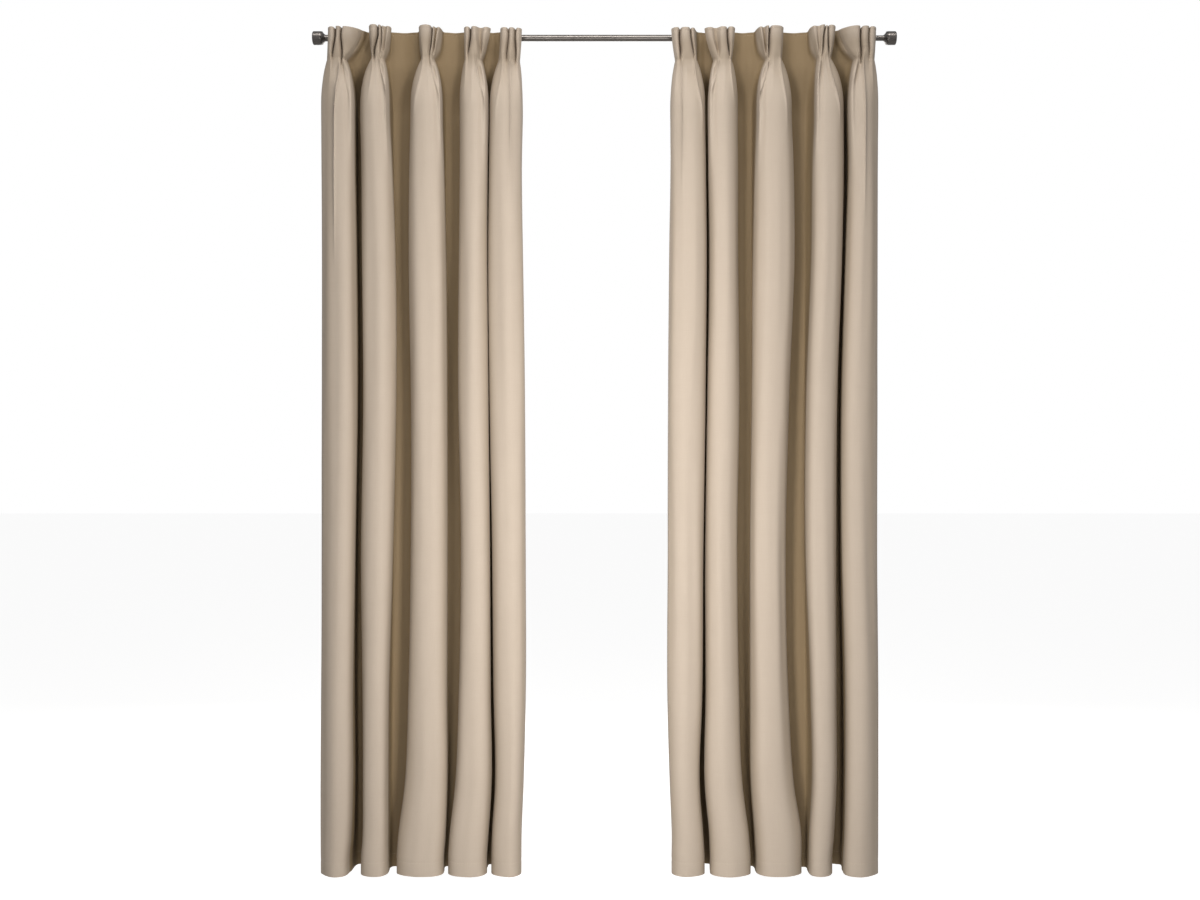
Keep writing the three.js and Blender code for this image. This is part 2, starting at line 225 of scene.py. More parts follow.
def brushed_metal(name, colour, roughness, grain=(8, 420, 420)):
    finish = Finish(name, Metallic=1.0)
    spot = finish.place()
    streaks = finish.noise(finish.stretched(spot, grain), 1.0, 4.0, 0.6)
    clouds = finish.noise(spot, 60.0, 3.0)
    shade = streaks * 0.5 + clouds * 0.5
    darker = tuple(0.74 * c for c in colour)
    lighter = tuple(min(1.0, 1.24 * c) for c in colour)
    finish.set("Base Color", finish.mix(shade, darker, lighter))
    finish.set("Roughness", shade * 0.16 + (roughness - 0.08))
    finish.bump(streaks, 0.00004, 0.6)
    return finish


pewter = brushed_metal("brushed_pewter", (0.160, 0.147, 0.137), 0.32)


def add_mesh(name, verts, faces, finish):
    data = bpy.data.meshes.new(name)
    data.from_pydata([tuple(v) for v in verts], [], [tuple(f) for f in faces])
    data.update()
    piece = bpy.data.objects.new(name, data)
    scene.collection.objects.link(piece)
    data.materials.append(finish.material)
    data.shade_smooth()
    return piece


def add_turned(name, outline, centre, finish, sides=TUBE_SIDES):
    """A body turned about the X direction, from (x, radius) points in order round its section."""
    closed = outline[0] == outline[-1]
    points = outline[:-1] if closed else outline
    verts = []
    rings = []
    for x, radius in points:
        if radius == 0:
            rings.append([len(verts)] * sides)
            verts.append((x, 0, 0))
            continue
        rings.append(list(range(len(verts), len(verts) + sides)))
        for k in range(sides):
            a = 2 * math.pi * k / sides
            verts.append((x, radius * math.cos(a), radius * math.sin(a)))
    pairs = list(zip(rings, rings[1:])) + ([(rings[-1], rings[0])] if closed else [])
    faces = []
    for near, far in pairs:
        for k in range(sides):
            n = (k + 1) % sides
            corners = [near[k], near[n], far[n], far[k]]
            faces.append(list(dict.fromkeys(corners)))
    verts = [(x + centre[0], y + centre[1], z + centre[2]) for x, y, z in verts]
    piece = add_mesh(name, verts, faces, finish)
    fix_normals(piece)
    piece.data.set_sharp_from_angle(angle=TURNED_CORNER)
    return piece


def fix_normals(piece):
    mesh = bmesh.new()
    mesh.from_mesh(piece.data)
    bmesh.ops.remove_doubles(mesh, verts=mesh.verts, dist=1e-6)
    bmesh.ops.recalc_face_normals(mesh, faces=mesh.faces)
    mesh.to_mesh(piece.data)
    mesh.free()


def middle(node):
    low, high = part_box(node)
    return (low + high) / 2


def finished(piece, body, node):
    """Puts a piece on its body in place of a CAD node."""
    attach(piece, body)
    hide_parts(node)


for node, body in (("rod_outer_tube", "rod"), ("rod_inner_tube", "rod_inner")):
    low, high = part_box(node)
    radius = (high.z - low.z) / 2
    bore = radius - TUBE_WALL
    tube_outline = [
        (low.x, bore), (low.x, radius - TUBE_LIP), (low.x + TUBE_LIP, radius),
        (high.x - TUBE_LIP, radius), (high.x, radius - TUBE_LIP), (high.x, bore), (low.x, bore),
    ]
    axis_point = Vector((0, middle(node).y, middle(node).z))
    finished(add_turned(f"{node}_skin", tube_outline, axis_point, pewter), body, node)


# ---- finials -----------------------------------------------------------------------------------
# Cast barrels with a flared neck, a narrow bead and a rounded, slightly dished end, plated like the
# rod and left with a fine cast grain. A plug behind the neck pushes into the tube.

FINIAL_BARREL = 0.027
FINIAL_FLARE = 0.013
FINIAL_BEAD = 0.0022
FINIAL_EDGE = 0.0035
FINIAL_DISH = 0.0012
PLUG_GAP = 0.0003
PLUG_CHAMFER = 0.0006
BARREL_SHOULDER = 0.0016

cast = brushed_metal("cast_pewter", (0.150, 0.138, 0.130), 0.36, grain=(260, 260, 260))


def finial_outline(tube_radius, radius, length):
    """From the plug's end outwards, with x measured from that end."""
    shoulder = length - FINIAL_FLARE - FINIAL_BARREL
    barrel = shoulder + FINIAL_FLARE
    plug = tube_radius - TUBE_WALL - PLUG_GAP
    points = [(0, 0), (0, plug - PLUG_CHAMFER), (0.0008, plug), (shoulder, plug)]
    steps = 14
    for i in range(steps + 1):
        t = i / steps
        opened = (1 - math.cos(t * math.pi / 2)) ** 1.1
        flare = tube_radius + (radius - FINIAL_BEAD - tube_radius) * opened
        points.append((shoulder + t * (FINIAL_FLARE - FINIAL_BEAD), flare))
    for i in range(9):
        a = math.pi * i / 8
        x = barrel - FINIAL_BEAD / 2 - FINIAL_BEAD / 2 * math.cos(a)
        points.append((x, radius - FINIAL_BEAD + FINIAL_BEAD * 0.7 * math.sin(a)))
    points.append((barrel + 0.0004, radius - 0.0009))
    points.append((barrel + BARREL_SHOULDER, radius - 0.0001))
    waist = 6
    for i in range(1, waist):
        t = i / waist
        x = barrel + BARREL_SHOULDER + t * (FINIAL_BARREL - FINIAL_EDGE - BARREL_SHOULDER)
        points.append((x, radius - 0.0001 + 0.0001 * math.sin(math.pi * t)))
    for i in range(9):
        a = math.pi / 2 * i / 8
        x = length - FINIAL_EDGE + FINIAL_EDGE * math.sin(a)
        points.append((x, radius - FINIAL_EDGE + FINIAL_EDGE * math.cos(a)))
    floor_x = length - FINIAL_DISH
    points += [(length - 0.0002, radius * 0.62), (floor_x, radius * 0.5), (floor_x, 0)]
    return points


for side, tube in zip(SIDES, ("rod_outer_tube", "rod_inner_tube")):
    low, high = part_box(f"finial_{side}")
    tube_low, tube_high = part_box(tube)
    outline = finial_outline((tube_high.z - tube_low.z) / 2, (high.z - low.z) / 2, high.x - low.x)
    place = middle(f"finial_{side}")
    if side == "left":
        outline = [(high.x - x, r) for x, r in outline]
    else:
        outline = [(low.x + x, r) for x, r in outline]
    knob = add_turned(f"finial_{side}_turning", outline, Vector((0, place.y, place.z)), cast, 64)
    finished(knob, f"finial_{side}", f"finial_{side}")


# ---- wall brackets and their screws ------------------------------------------------------------
# Cast arms with an open cup and stamped wall plates, all with eased edges and the rod's plating,
# pan-head wall screws with a cross recess, and a fluted thumb screw under each cup.

bracket_metal = brushed_metal("bracket_pewter", (0.165, 0.152, 0.142), 0.40, grain=(180, 180, 180))
zinc = brushed_metal("zinc_plate", (0.60, 0.60, 0.58), 0.36, grain=(300, 300, 300))
EASED_EDGE = 0.0006
EASED_CORNER = math.radians(50)
SCREW_DOME = 0.0016
KNOB_HEIGHT = 0.008
THUMB_SHANK = 0.0025
FLUTES = 10
FLUTE_DEPTH = 0.0005


def eased_copy(node, name, finish, edge):
    """A CAD node's shape with its loose corners merged and its edges rounded over."""
    piece = bpy.data.objects.new(name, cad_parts[node].data.copy())
    scene.collection.objects.link(piece)
    piece.data.materials.clear()
    piece.data.materials.append(finish.material)
    fix_normals(piece)
    mesh = bmesh.new()
    mesh.from_mesh(piece.data)
    bmesh.ops.dissolve_limit(mesh, angle_limit=math.radians(3), verts=mesh.verts, edges=mesh.edges)
    mesh.to_mesh(piece.data)
    mesh.free()
    bevel = piece.modifiers.new("eased", "BEVEL")
    bevel.width = edge
    bevel.segments = 3
    bevel.limit_method = "ANGLE"
    bevel.angle_limit = EASED_CORNER
    bevel.harden_normals = True
    piece.data.shade_smooth()
    piece.data.set_sharp_from_angle(angle=EASED_CORNER)
    return piece


def add_wall_screw(node, name):
    """Pan head on the plate's room side, with a cross recess cut in it."""
    low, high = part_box(node)
    head = (high.x - low.x) / 2
    shank = head / 2
    rim = low.y + SCREW_DOME
    outline = [(low.y, 0)]
    outline += [(low.y + SCREW_DOME * (1 - math.cos(a)), head * 0.35 + head * 0.6 * math.sin(a))
                for a in np.linspace(0.05, math.pi / 2, 8)]
    outline += [(rim + 0.0008, head * 0.95), (rim + 0.0009, shank), (high.y, shank), (high.y, 0)]
    screw = add_turned(name, outline, Vector((0, 0, 0)), zinc, 32)
    cross = add_mesh("cross", [], [], zinc)
    mesh = bmesh.new()
    for size in ((0.0030, 0.0056, 0.0010), (0.0030, 0.0010, 0.0056)):
        made = bmesh.ops.create_cube(mesh, size=1.0)
        for vert in made["verts"]:
            vert.co = Vector([c * s for c, s in zip(vert.co, size)]) + Vector((low.y, 0, 0))
    mesh.to_mesh(cross.data)
    mesh.free()
    cut = screw.modifiers.new("recess", "BOOLEAN")
    cut.operation = "DIFFERENCE"
    cut.solver = "EXACT"
    cut.use_self = True
    cut.object = cross
    apply_modifiers(screw)
    bpy.data.objects.remove(cross)
    centre = middle(node)
    for vert in screw.data.vertices:
        x, y, z = vert.co
        vert.co = (centre.x - y, x, centre.z + z)
    return screw


def apply_modifiers(piece):
    """Replaces a piece's mesh by the one its modifiers make."""
    bpy.context.view_layer.update()
    made = bpy.data.meshes.new_from_object(piece.evaluated_get(bpy.context.evaluated_depsgraph_get()))
    piece.modifiers.clear()
    piece.data = made


def add_thumb_screw(node, name):
    """A domed knob with rounded flutes under a plain shank."""
    low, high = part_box(node)
    centre = middle(node)
    radius = (high.x - low.x) / 2
    sides = FLUTES * 8
    knob_top = low.z + KNOB_HEIGHT
    levels = [(low.z, 0.55), (low.z + 0.0004, 0.82), (low.z + 0.0012, 0.96), (low.z + 0.0022, 1.0),
              (knob_top - 0.0014, 1.0), (knob_top - 0.0005, 0.97), (knob_top, 0.88)]
    shank = THUMB_SHANK / radius
    levels += [(knob_top, shank), (high.z - 0.0005, shank), (high.z, 0.002 / radius)]
    verts = []
    for z, share in levels:
        for k in range(sides):
            a = 2 * math.pi * k / sides
            flute = FLUTE_DEPTH * (0.5 + 0.5 * math.cos(FLUTES * a)) if share > 0.9 else 0
            r = radius * share - flute
            verts.append((centre.x + r * math.cos(a), centre.y + r * math.sin(a), z))
    faces = [[i * sides + k, i * sides + (k + 1) % sides, (i + 1) * sides + (k + 1) % sides,
              (i + 1) * sides + k] for i in range(len(levels) - 1) for k in range(sides)]
    faces.append(list(range(sides))[::-1])
    faces.append([(len(levels) - 1) * sides + k for k in range(sides)])
    screw = add_mesh(name, verts, faces, bracket_metal)
    fix_normals(screw)
    screw.data.set_sharp_from_angle(angle=math.radians(45))
    return screw


for side in SIDES:
    for node in (f"bracket_arm_{side}", f"wall_plate_{side}"):
        casting = eased_copy(node, f"{node}_casting", bracket_metal, EASED_EDGE)
        finished(casting, "brackets", node)
    for place in ("upper", "lower"):
        node = f"wall_screw_{side}_{place}"
        finished(add_wall_screw(node, f"{node}_pan_head"), "brackets", node)
    node = f"lock_screw_{side}"
    finished(add_thumb_screw(node, f"{node}_knob"), node, node)


# ---- rings and pleat hooks ---------------------------------------------------------------------
# Bent and welded wire rings with a small eyelet welded below, and nickel-plated spring wire hooks:
# a pin that goes up inside the header tape, a U-bend, and a crook over the eyelet.

RING_WIRE = 0.004
EYELET_WIRE = 0.0025
EYELET_BORE = 0.0065
HOOK_WIRE = 0.0018

ring_metal = brushed_metal("ring_pewter", (0.180, 0.166, 0.155), 0.3, grain=(200, 200, 200))
nickel = brushed_metal("nickel_wire", (0.62, 0.60, 0.56), 0.24, grain=(300, 300, 300))


def add_wire(name, points, radius, finish, sides=12, closed=False):
    """A round wire along points, with rounded-off ends where it is open."""
    points = [Vector(p) for p in points]
    count = len(points)
    verts = []
    faces = []
    guide = Vector((1, 0, 0))
    for i, point in enumerate(points):
        before = points[i - 1] if i or closed else point
        after = points[(i + 1) % count] if i < count - 1 or closed else point
        along = (after - before).normalized()
        across = (guide - along * guide.dot(along))
        if across.length < 0.2:
            across = Vector((0, 1, 0)) - along * along.y
        across.normalize()
        guide = across
        up = along.cross(across)
        for k in range(sides):
            a = 2 * math.pi * k / sides
            verts.append(point + radius * (math.cos(a) * across + math.sin(a) * up))
    spans = count if closed else count - 1
    for i in range(spans):
        n = (i + 1) % count
        for k in range(sides):
            m = (k + 1) % sides
            faces.append([i * sides + k, i * sides + m, n * sides + m, n * sides + k])
    if not closed:
        for ring, inner in ((0, 1), (count - 1, count - 2)):
            along = (points[ring] - points[inner]).normalized()
            verts.append(points[ring] + along * radius * 0.7)
            for k in range(sides):
                faces.append([ring * sides + k, ring * sides + (k + 1) % sides, len(verts) - 1])
    piece = add_mesh(name, verts, faces, finish)
    fix_normals(piece)
    return piece


def join(name, pieces):
    with bpy.context.temp_override(active_object=pieces[0], selected_editable_objects=pieces):
        bpy.ops.object.join()
    pieces[0].name = name
    return pieces[0]


def circle(centre, radius, first, second, steps):
    """Points round a circle in the plane of two directions."""
    return [centre + radius * (math.cos(a) * first + math.sin(a) * second)
            for a in np.linspace(0, 2 * math.pi, steps, endpoint=False)]


def add_ring(node, name):
    low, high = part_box(node)
    centre = middle(node)
    outer = (high.y - low.y) / 2
    radius = outer - RING_WIRE / 2
    ring_z = high.z - outer
    eyelet_radius = (EYELET_BORE + EYELET_WIRE) / 2
    eyelet_z = low.z + EYELET_WIRE / 2 + eyelet_radius
    x, y, z = Vector((1, 0, 0)), Vector((0, 1, 0)), Vector((0, 0, 1))
    hoop = circle(Vector((centre.x, 0, ring_z)), radius, y, z, 56)
    eyelet = circle(Vector((centre.x, 0, eyelet_z)), eyelet_radius, x, z, 28)
    weld_z = ring_z - outer
    weld = [Vector((centre.x, 0, weld_z + dz)) for dz in (0.0010, 0.0003, -0.0006)]
    parts = [
        add_wire(f"{name}_hoop", hoop, RING_WIRE / 2, ring_metal, 14, closed=True),
        add_wire(f"{name}_eyelet", eyelet, EYELET_WIRE / 2, ring_metal, 10, closed=True),
        add_wire(f"{name}_weld", weld, 0.0019, ring_metal, 12),
    ]
    return join(name, parts)


def add_hook(node, name):
    low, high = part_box(node)
    x = middle(node).x
    r = HOOK_WIRE / 2
    pin_y, tail_y = low.y + r, high.y - r
    riser_y = -tail_y
    bend = (riser_y - pin_y) / 2
    crook_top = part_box(node.replace("hook", "ring"))[0].z + EYELET_WIRE + 0.0003 + r
    bend_y, bend_z = (pin_y + riser_y) / 2, low.z + r + bend
    points = [(x, pin_y, z) for z in np.linspace(high.z, bend_z, 10)[:-1]]
    for a in np.linspace(math.pi, 2 * math.pi, 18):
        points.append((x, bend_y + bend * math.cos(a), bend_z + bend * math.sin(a)))
    for z in np.linspace(bend_z, crook_top - tail_y, 6)[1:-1]:
        points.append((x, riser_y, z))
    for a in np.linspace(math.pi, 0, 14):
        points.append((x, tail_y * math.cos(a), crook_top - tail_y + tail_y * math.sin(a)))
    points += [(x, tail_y, crook_top - tail_y - drop) for drop in (0.002, 0.004, 0.006)]
    return add_wire(name, points, r, nickel, 10)


def body_of(side, number):
    """The outermost fold of each panel is held by a trapped ring, so it stays with the rod."""
    return "rod" if number == 1 else f"{side}_fold_{number}"


FOLDS = 5
for side in SIDES:
    for number in range(1, FOLDS + 1):
        node = f"ring_{side}_{number}"
        finished(add_ring(node, f"{node}_wire"), body_of(side, number), node)
        node = f"hook_{side}_{number}"
        finished(add_hook(node, f"{node}_wire"), body_of(side, number), node)


# ---- curtain cloth -----------------------------------------------------------------------------
# Two panels of heavy plain-woven beige polyester, 1.6 m wide, each pinched into five triple pleats
# that are tacked 90 mm below the header edge. One surface per panel runs round every fold and across
# every web; it is parted at the ridges.

CLOTH = 0.0012                     # single thickness
HEM_BAND = 0.040                   # height of the bottom hem
HEADER_BAND = 0.009                # top edge to its row of stitches
SIDE_HEM = 0.028
NIP = 0.090                        # header edge to the tack
BELL = 0.150                       # height over which a fold opens below its tack
NECK = 0.012                       # how far a fold hangs over the web beside it
WING_REACH = (0.044, 0.012)        # how far the first pleat's wing pushes the web along at the edge
LEG_COLUMNS = 16
FRONT_COLUMNS = 38
WEB_COLUMNS = 14

# Each pleat: its sides at the header's edge and at the tack, from its middle and with the room's
# middle as the positive way, where its foremost line lies across it, how much higher than the rest
# of the header it stands, and how far its two sides round out.
# A slit between its fingers: place at the edge, at the tack, sideways bow, half width at the edge,
# at the tack, depth, lower end. A wing is a wide shallow hollow, given in the same way.
# A crease below it: place at the tack, place lower down, height, half width, where it fades out.
PLEATS = {
    "left": [
        dict(edge=(-36, 60), tack=(-42, 15), lean=0.40, lift=-4, round=(0.50, 0.60),
             slits=[(-16, -21, 3, 3.0, 2.2, 26, 92), (7, 0, -3, 2.4, 2.0, 34, 112)], wings=[],
             creases=[(0, -15, 5, 5, 760), (11, 36, 3, 5, 260), (-28, -38, 2, 6, 220)]),
        dict(edge=(-30, 34), tack=(-25, 12), lean=0.44, lift=2, round=(0.60, 0.66),
             slits=[(-6, -13, 4, 2.2, 3.4, 32, 104), (7, 4, 1, 1.8, 2.4, 16, 86)],
             wings=[(18, 8, 0, 9, 3, 14, 92)],
             creases=[(1, 32, 4, 5, 340), (-18, -34, 3, 6, 250), (-8, -6, 2, 8, 210)]),
        dict(edge=(-31, 31), tack=(-25, 12), lean=0.40, lift=-1, round=(0.60, 0.66),
             slits=[(8, 1, 1, 2.6, 2.8, 30, 92)], wings=[(20, 8, 0, 7, 2.6, 19, 88)],
             creases=[(5, 40, 4, 5, 340), (-18, -44, 3, 6, 310), (-6, 2, 2, 10, 240)]),
        dict(edge=(-33, 44), tack=(-33, 17), lean=0.40, lift=-5, round=(0.62, 0.64),
             slits=[(-15, -20, 2, 3.0, 3.0, 28, 84)], wings=[(17, 11, -2, 14, 3, 19, 92)],
             creases=[(2, 33, 4, 5, 330), (-28, -36, 2, 6, 230), (-8, -12, 2, 9, 260)]),
        dict(edge=(-28, 34), tack=(-35, 27), lean=0.50, lift=-9, round=(0.66, 0.66),
             slits=[(-6, -9, 2, 3.4, 3.0, 17, 98), (17, 14, -2, 3.4, 2.8, 22, 106)], wings=[],
             creases=[(-22, -42, 3, 6, 330), (0, 2, 4, 6, 560), (21, 36, 2, 6, 260)]),
    ],
    "right": [
        dict(edge=(-54, 52), tack=(-52, 9), lean=0.52, lift=-3, round=(0.52, 0.60),
             slits=[(-9, -8, 2, 2.4, 2.0, 34, 108), (-34, -31, 2, 2.2, 2.4, 15, 88)], wings=[],
             creases=[(-15, -18, 5, 5, 620), (3, 40, 4, 5, 300), (-42, -48, 2, 6, 220)]),
        dict(edge=(-49, 23), tack=(-38, 2), lean=0.56, lift=1, round=(0.60, 0.66),
             slits=[(-27, -29, 1, 1.8, 2.6, 20, 94), (-20, -7, 2, 2.0, 2.6, 22, 92)],
             wings=[(2, -4, 0, 12, 3, 14, 96)],
             creases=[(-28, -62, 4, 5, 340), (-3, 20, 3, 6, 260), (-16, -14, 2, 8, 210)]),
        dict(edge=(-43, 31), tack=(-40, 7), lean=0.60, lift=-2, round=(0.60, 0.66),
             slits=[(-3, 1, 1, 2.6, 2.8, 30, 94)], wings=[(15, 5, 0, 8, 2.8, 18, 90)],
             creases=[(2, 38, 4, 5, 340), (-34, -52, 3, 5, 340), (-14, -8, 2, 10, 240)]),
        dict(edge=(-36, 53), tack=(-28, 26), lean=0.40, lift=-6, round=(0.62, 0.64),
             slits=[(-14, -18, 2, 2.6, 3.0, 26, 88)], wings=[(20, 13, 2, 15, 3, 18, 94)],
             creases=[(13, 50, 4, 5, 320), (-22, -38, 3, 6, 260), (-6, 0, 2, 9, 260)]),
        dict(edge=(-20, 48), tack=(-28, 36), lean=0.52, lift=-8, round=(0.66, 0.66),
             slits=[(23, 24, 2, 3.4, 3.0, 24, 98), (-8, -17, 2, 3.0, 2.6, 18, 96)], wings=[],
             creases=[(19, 18, 4, 6, 560), (-18, -42, 4, 5, 360), (32, 44, 2, 6, 240)]),
    ],
}
# Full folds: where the front ridge lies across each, how far its two flanks round out, and how far
# its two edges stray from their straight lines at the heights below, in millimetres.
RIDGES = (0.60, 0.56, 0.58, 0.57, 0.60)
FLANKS = ((0.34, 0.60), (0.50, 0.60), (0.52, 0.58), (0.50, 0.60), (0.54, 0.56))
STRAY_HEIGHTS = (0.24, 0.39, 0.65, 1.09, 1.56, 1.97, 2.24, 2.40, 2.46)
STRAY = {
    "left": [
        ((-12, -12, -12, -12, -12, -12, -12, -12, -12), (-11, -11, -7, -4, -10, -14, -13, -19, -24)),
        ((-14, -11, -10, -6, -13, -10, -9, -10, -14), (-18, -12, -4, -1, -10, -21, -22, -22, -22)),
        ((-4, -7, -8, -2, -2, -8, -19, -40, -44), (-18, -14, -9, -6, -4, -6, -6, -12, -16)),
        ((-3, -3, -4, -6, 0, -5, -15, -32, -35), (-11, -13, -15, -11, -5, -2, 0, -10, -14)),
        ((-9, -11, -14, -10, -4, -2, 2, -7, -8), (-14, -17, -14, -8, -7, -7, -13, -18, -18)),
    ],
    "right": [
        ((-17, -16, -15, -14, -11, -14, -15, -15, -15), (-25, -28, -21, -7, -6, -15, -15, -12, -9)),
        ((-31, -31, -26, -12, -8, -11, -12, -4, 1), (-35, -30, -27, -11, -7, -22, -27, -19, -18)),
        ((-14, -20, -24, -9, 1, -6, -22, -44, -44), (-21, -17, -12, -8, -2, -5, -8, -19, -22)),
        ((-2, -3, -3, -6, 2, -3, -14, -34, -38), (-4, -5, -8, -3, 2, 3, 6, -8, -10)),
        ((-2, -4, -7, -2, 4, 5, 12, 1, -2), (-1, -2, 2, 7, 9, 9, 1, -5, -4)),
    ],
}
WEB_SAG = (0.003, 0.007, 0.007, 0.005)       # how far the header sinks back between pleats
FINGER = 0.0065                    # how far each finger of a pleat rounds forward
RIM = 0.0060                       # pressed ridge down the room-side edge of a fold below its tack
PLEAT_FRONT = 0.003                # header's fronts stand this far behind the folds' fronts
TACK_BACK = 0.021                  # and the tack this far
MM = 0.001
WEB_HALF = 0.00075                 # half of a web's thickness in the CAD model
SIDE_BACK = (0.020, 0.046)         # a fold's sides turn back this far behind its front: header, full
FIRST_ROLL = 0.022                 # the first pleat's inner side rolls back further at the edge
LEG_STEPS, ARC_STEPS = 60, 200     # points on a fold's legs and fronts before they are spaced evenly
HOLLOW_WIDTH = 0.8                 # pressed slits and wings are this much narrower than measured
CREASE_RISE, CREASE_WIDTH = 1.8, 0.85    # and creases this much higher and narrower


def ease(value, start, end):
    t = np.clip((np.asarray(value, float) - start) / (end - start), 0, 1)
    return t * t * (3 - 2 * t)


def level_rows():
    """Distances below the header edge, close together where the cloth changes fast."""
    bands = [(0.0, 0.012, 0.002), (0.012, 0.120, 0.0036), (0.120, 0.300, 0.006), (0.300, 0.60, 0.014),
             (0.60, 2.20, 0.026), (2.20, 2.445, 0.012), (2.445, DROP, 0.004)]
    rows = [0.0]
    for start, end, step in bands:
        count = max(1, round((end - start) / step))
        rows += list(np.linspace(start, end, count + 1)[1:])
    return np.array(rows)


BELOW = level_rows()
FULL = ease(BELOW, NIP, NIP + BELL)                # 0 in the header, 1 where folds are full
OPENING = 1 - (1 - np.clip((BELOW - NIP) / BELL, 0, 1)) ** 2.6
TOWARDS_TACK = np.clip(BELOW / NIP, 0, 1)
PINCH = TOWARDS_TACK ** 1.5


def pressed_band(start, end):
    """1 just below the tack, where a fold is pressed flat, fading out between two heights."""
    return ease(BELOW, NIP - 0.01, NIP + 0.03) * (1 - ease(BELOW, start, end))


def smooth_through(at, values):
    """A smooth line through a few values, level beyond its ends, taken at every row."""
    at, values = np.array(at, float), np.array(values, float)
    slopes = np.gradient(values, at)
    slopes[0] = slopes[-1] = 0
    spot = np.clip(BELOW, at[0], at[-1])
    i = np.clip(np.searchsorted(at, spot, "right") - 1, 0, len(at) - 2)
    width = at[i + 1] - at[i]
    t = (spot - at[i]) / width
    return ((2 * t**3 - 3 * t**2 + 1) * values[i] + (t**3 - 2 * t**2 + t) * width * slopes[i]
            + (3 * t**2 - 2 * t**3) * values[i + 1] + (t**3 - t**2) * width * slopes[i + 1])


def bend(start, start_pull, end_pull, end, count):
    """A cubic bend between two points at every row; the pulls are offsets from them."""
    t = np.linspace(0, 1, count)[None, :, None]
    a, b = start[:, None, :], (start + start_pull)[:, None, :]
    c, d = (end + end_pull)[:, None, :], end[:, None, :]
    return (1 - t) ** 3 * a + 3 * (1 - t) ** 2 * t * b + 3 * (1 - t) * t**2 * c + t**3 * d


def points(x, y):
    pair = np.broadcast_arrays(np.asarray(x, float), np.asarray(y, float))
    return np.stack(pair, -1) + np.zeros((len(BELOW), 2))


def evenly(line, columns):
    """Each row's line resampled to points evenly spaced along it."""
    out = np.empty((len(line), columns, 2))
    share = np.linspace(0, 1, columns)
    for i, row in enumerate(line):
        reach = np.concatenate([[0], np.cumsum(np.hypot(*np.diff(row, axis=0).T))])
        for k in range(2):
            out[i, :, k] = np.interp(share * reach[-1], reach, row[:, k])
    return out


def blurred(values, reach):
    """Values smoothed along each row."""
    weights = np.hanning(2 * reach + 3)[1:-1]
    padded = np.pad(values, ((0, 0), (reach, reach)), "edge")
    width = values.shape[1]
    return sum(w * padded[:, k:k + width] for k, w in enumerate(weights)) / weights.sum()


